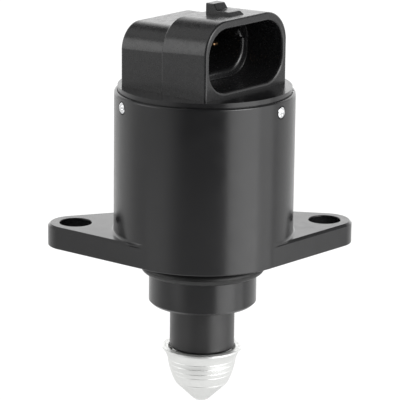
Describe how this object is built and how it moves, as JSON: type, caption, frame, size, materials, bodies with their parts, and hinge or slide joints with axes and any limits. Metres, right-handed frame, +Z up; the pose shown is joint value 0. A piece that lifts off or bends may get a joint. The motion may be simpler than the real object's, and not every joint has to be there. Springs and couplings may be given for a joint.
{
  "type": "idle air control valve",
  "caption": "Motor-driven air bypass valve: round flanged body, side-facing plug socket on top, sealed spigot and a sliding turned pintle below.",
  "frame": {"origin": "where the body axis meets the underside of the flange, on the face that is bolted to the intake", "axes": "+Z up the body axis from the pintle to the connector, -Y out of the connector's mouth, +X across the socket; the bolt line lies at -45 degrees from +X and 6.5 mm off the axis"},
  "size_m": [0.0464, 0.0464, 0.0815],
  "materials": {
    "black_paint": "satin black paint on cast aluminium",
    "black_rubber": "matte",
    "guide_plastic": "satin",
    "turned_aluminium": "finely turned",
    "screw_steel": "ground",
    "spring_steel": "bright",
    "bearing_steel": "ground",
    "ball_steel": "polished",
    "cage_brass": "stamped",
    "natural_plastic": "satin",
    "magnet_ferrite": "ground",
    "bush_bronze": "sintered",
    "stator_steel": "zinc plated",
    "coil_copper": "enamelled wire",
    "cap_plastic": "grained",
    "pin_steel": "bright",
    "terminal_brass": "bright"
  },
  "bodies": {
    "valve_body": {"housing": "black_paint", "flange_o_ring": "black_rubber", "pintle_guide": "guide_plastic", "bearing_outer_race": "bearing_steel", "bearing_retainer": "spring_steel", "rear_bush": "bush_bronze", "thrust_washer": "natural_plastic", "lower_stator_cup": "stator_steel", "lower_pole_plate": "stator_steel", "lower_bobbin": "natural_plastic", "lower_coil": "coil_copper", "upper_stator_cup": "stator_steel", "upper_pole_plate": "stator_steel", "upper_bobbin": "natural_plastic", "upper_coil": "coil_copper", "wave_washer": "spring_steel", "cap_seal": "black_rubber", "connector_cap": "cap_plastic", "locking_pins": "pin_steel", "terminal_a": "terminal_brass", "terminal_b": "terminal_brass", "terminal_c": "terminal_brass", "terminal_d": "terminal_brass"},
    "rotor": {"rotor_hub": "natural_plastic", "rotor_magnet": "magnet_ferrite", "bearing_inner_race": "bearing_steel"},
    "ball_set": {"bearing_balls": "ball_steel", "bearing_cage": "cage_brass"},
    "stem": {"pintle": "turned_aluminium", "lead_screw": "screw_steel", "anti_backlash_spring": "spring_steel"}
  },
  "joints": [
    {"name": "rotor_spin", "type": "hinge", "parent": "valve_body", "child": "rotor", "pos_m": [0, 0, 0], "axis": [0, 0, 1], "range_deg": [0, 2880]},
    {"name": "ball_orbit", "type": "hinge", "parent": "valve_body", "child": "ball_set", "pos_m": [0, 0, -0.0043], "axis": [0, 0, 1], "range_deg": [0, 1129]},
    {"name": "pintle_travel", "type": "slide", "parent": "valve_body", "child": "stem", "axis": [0, 0, -1], "range_m": [0, 0.008], "deforming": ["anti_backlash_spring"]}
  ],
  "couplings": [
    {"joint": "ball_orbit", "follows": "rotor_spin", "ratio": 0.39167},
    {"joint": "pintle_travel", "follows": "rotor_spin", "m_per_rad": 0.00015915}
  ]
}
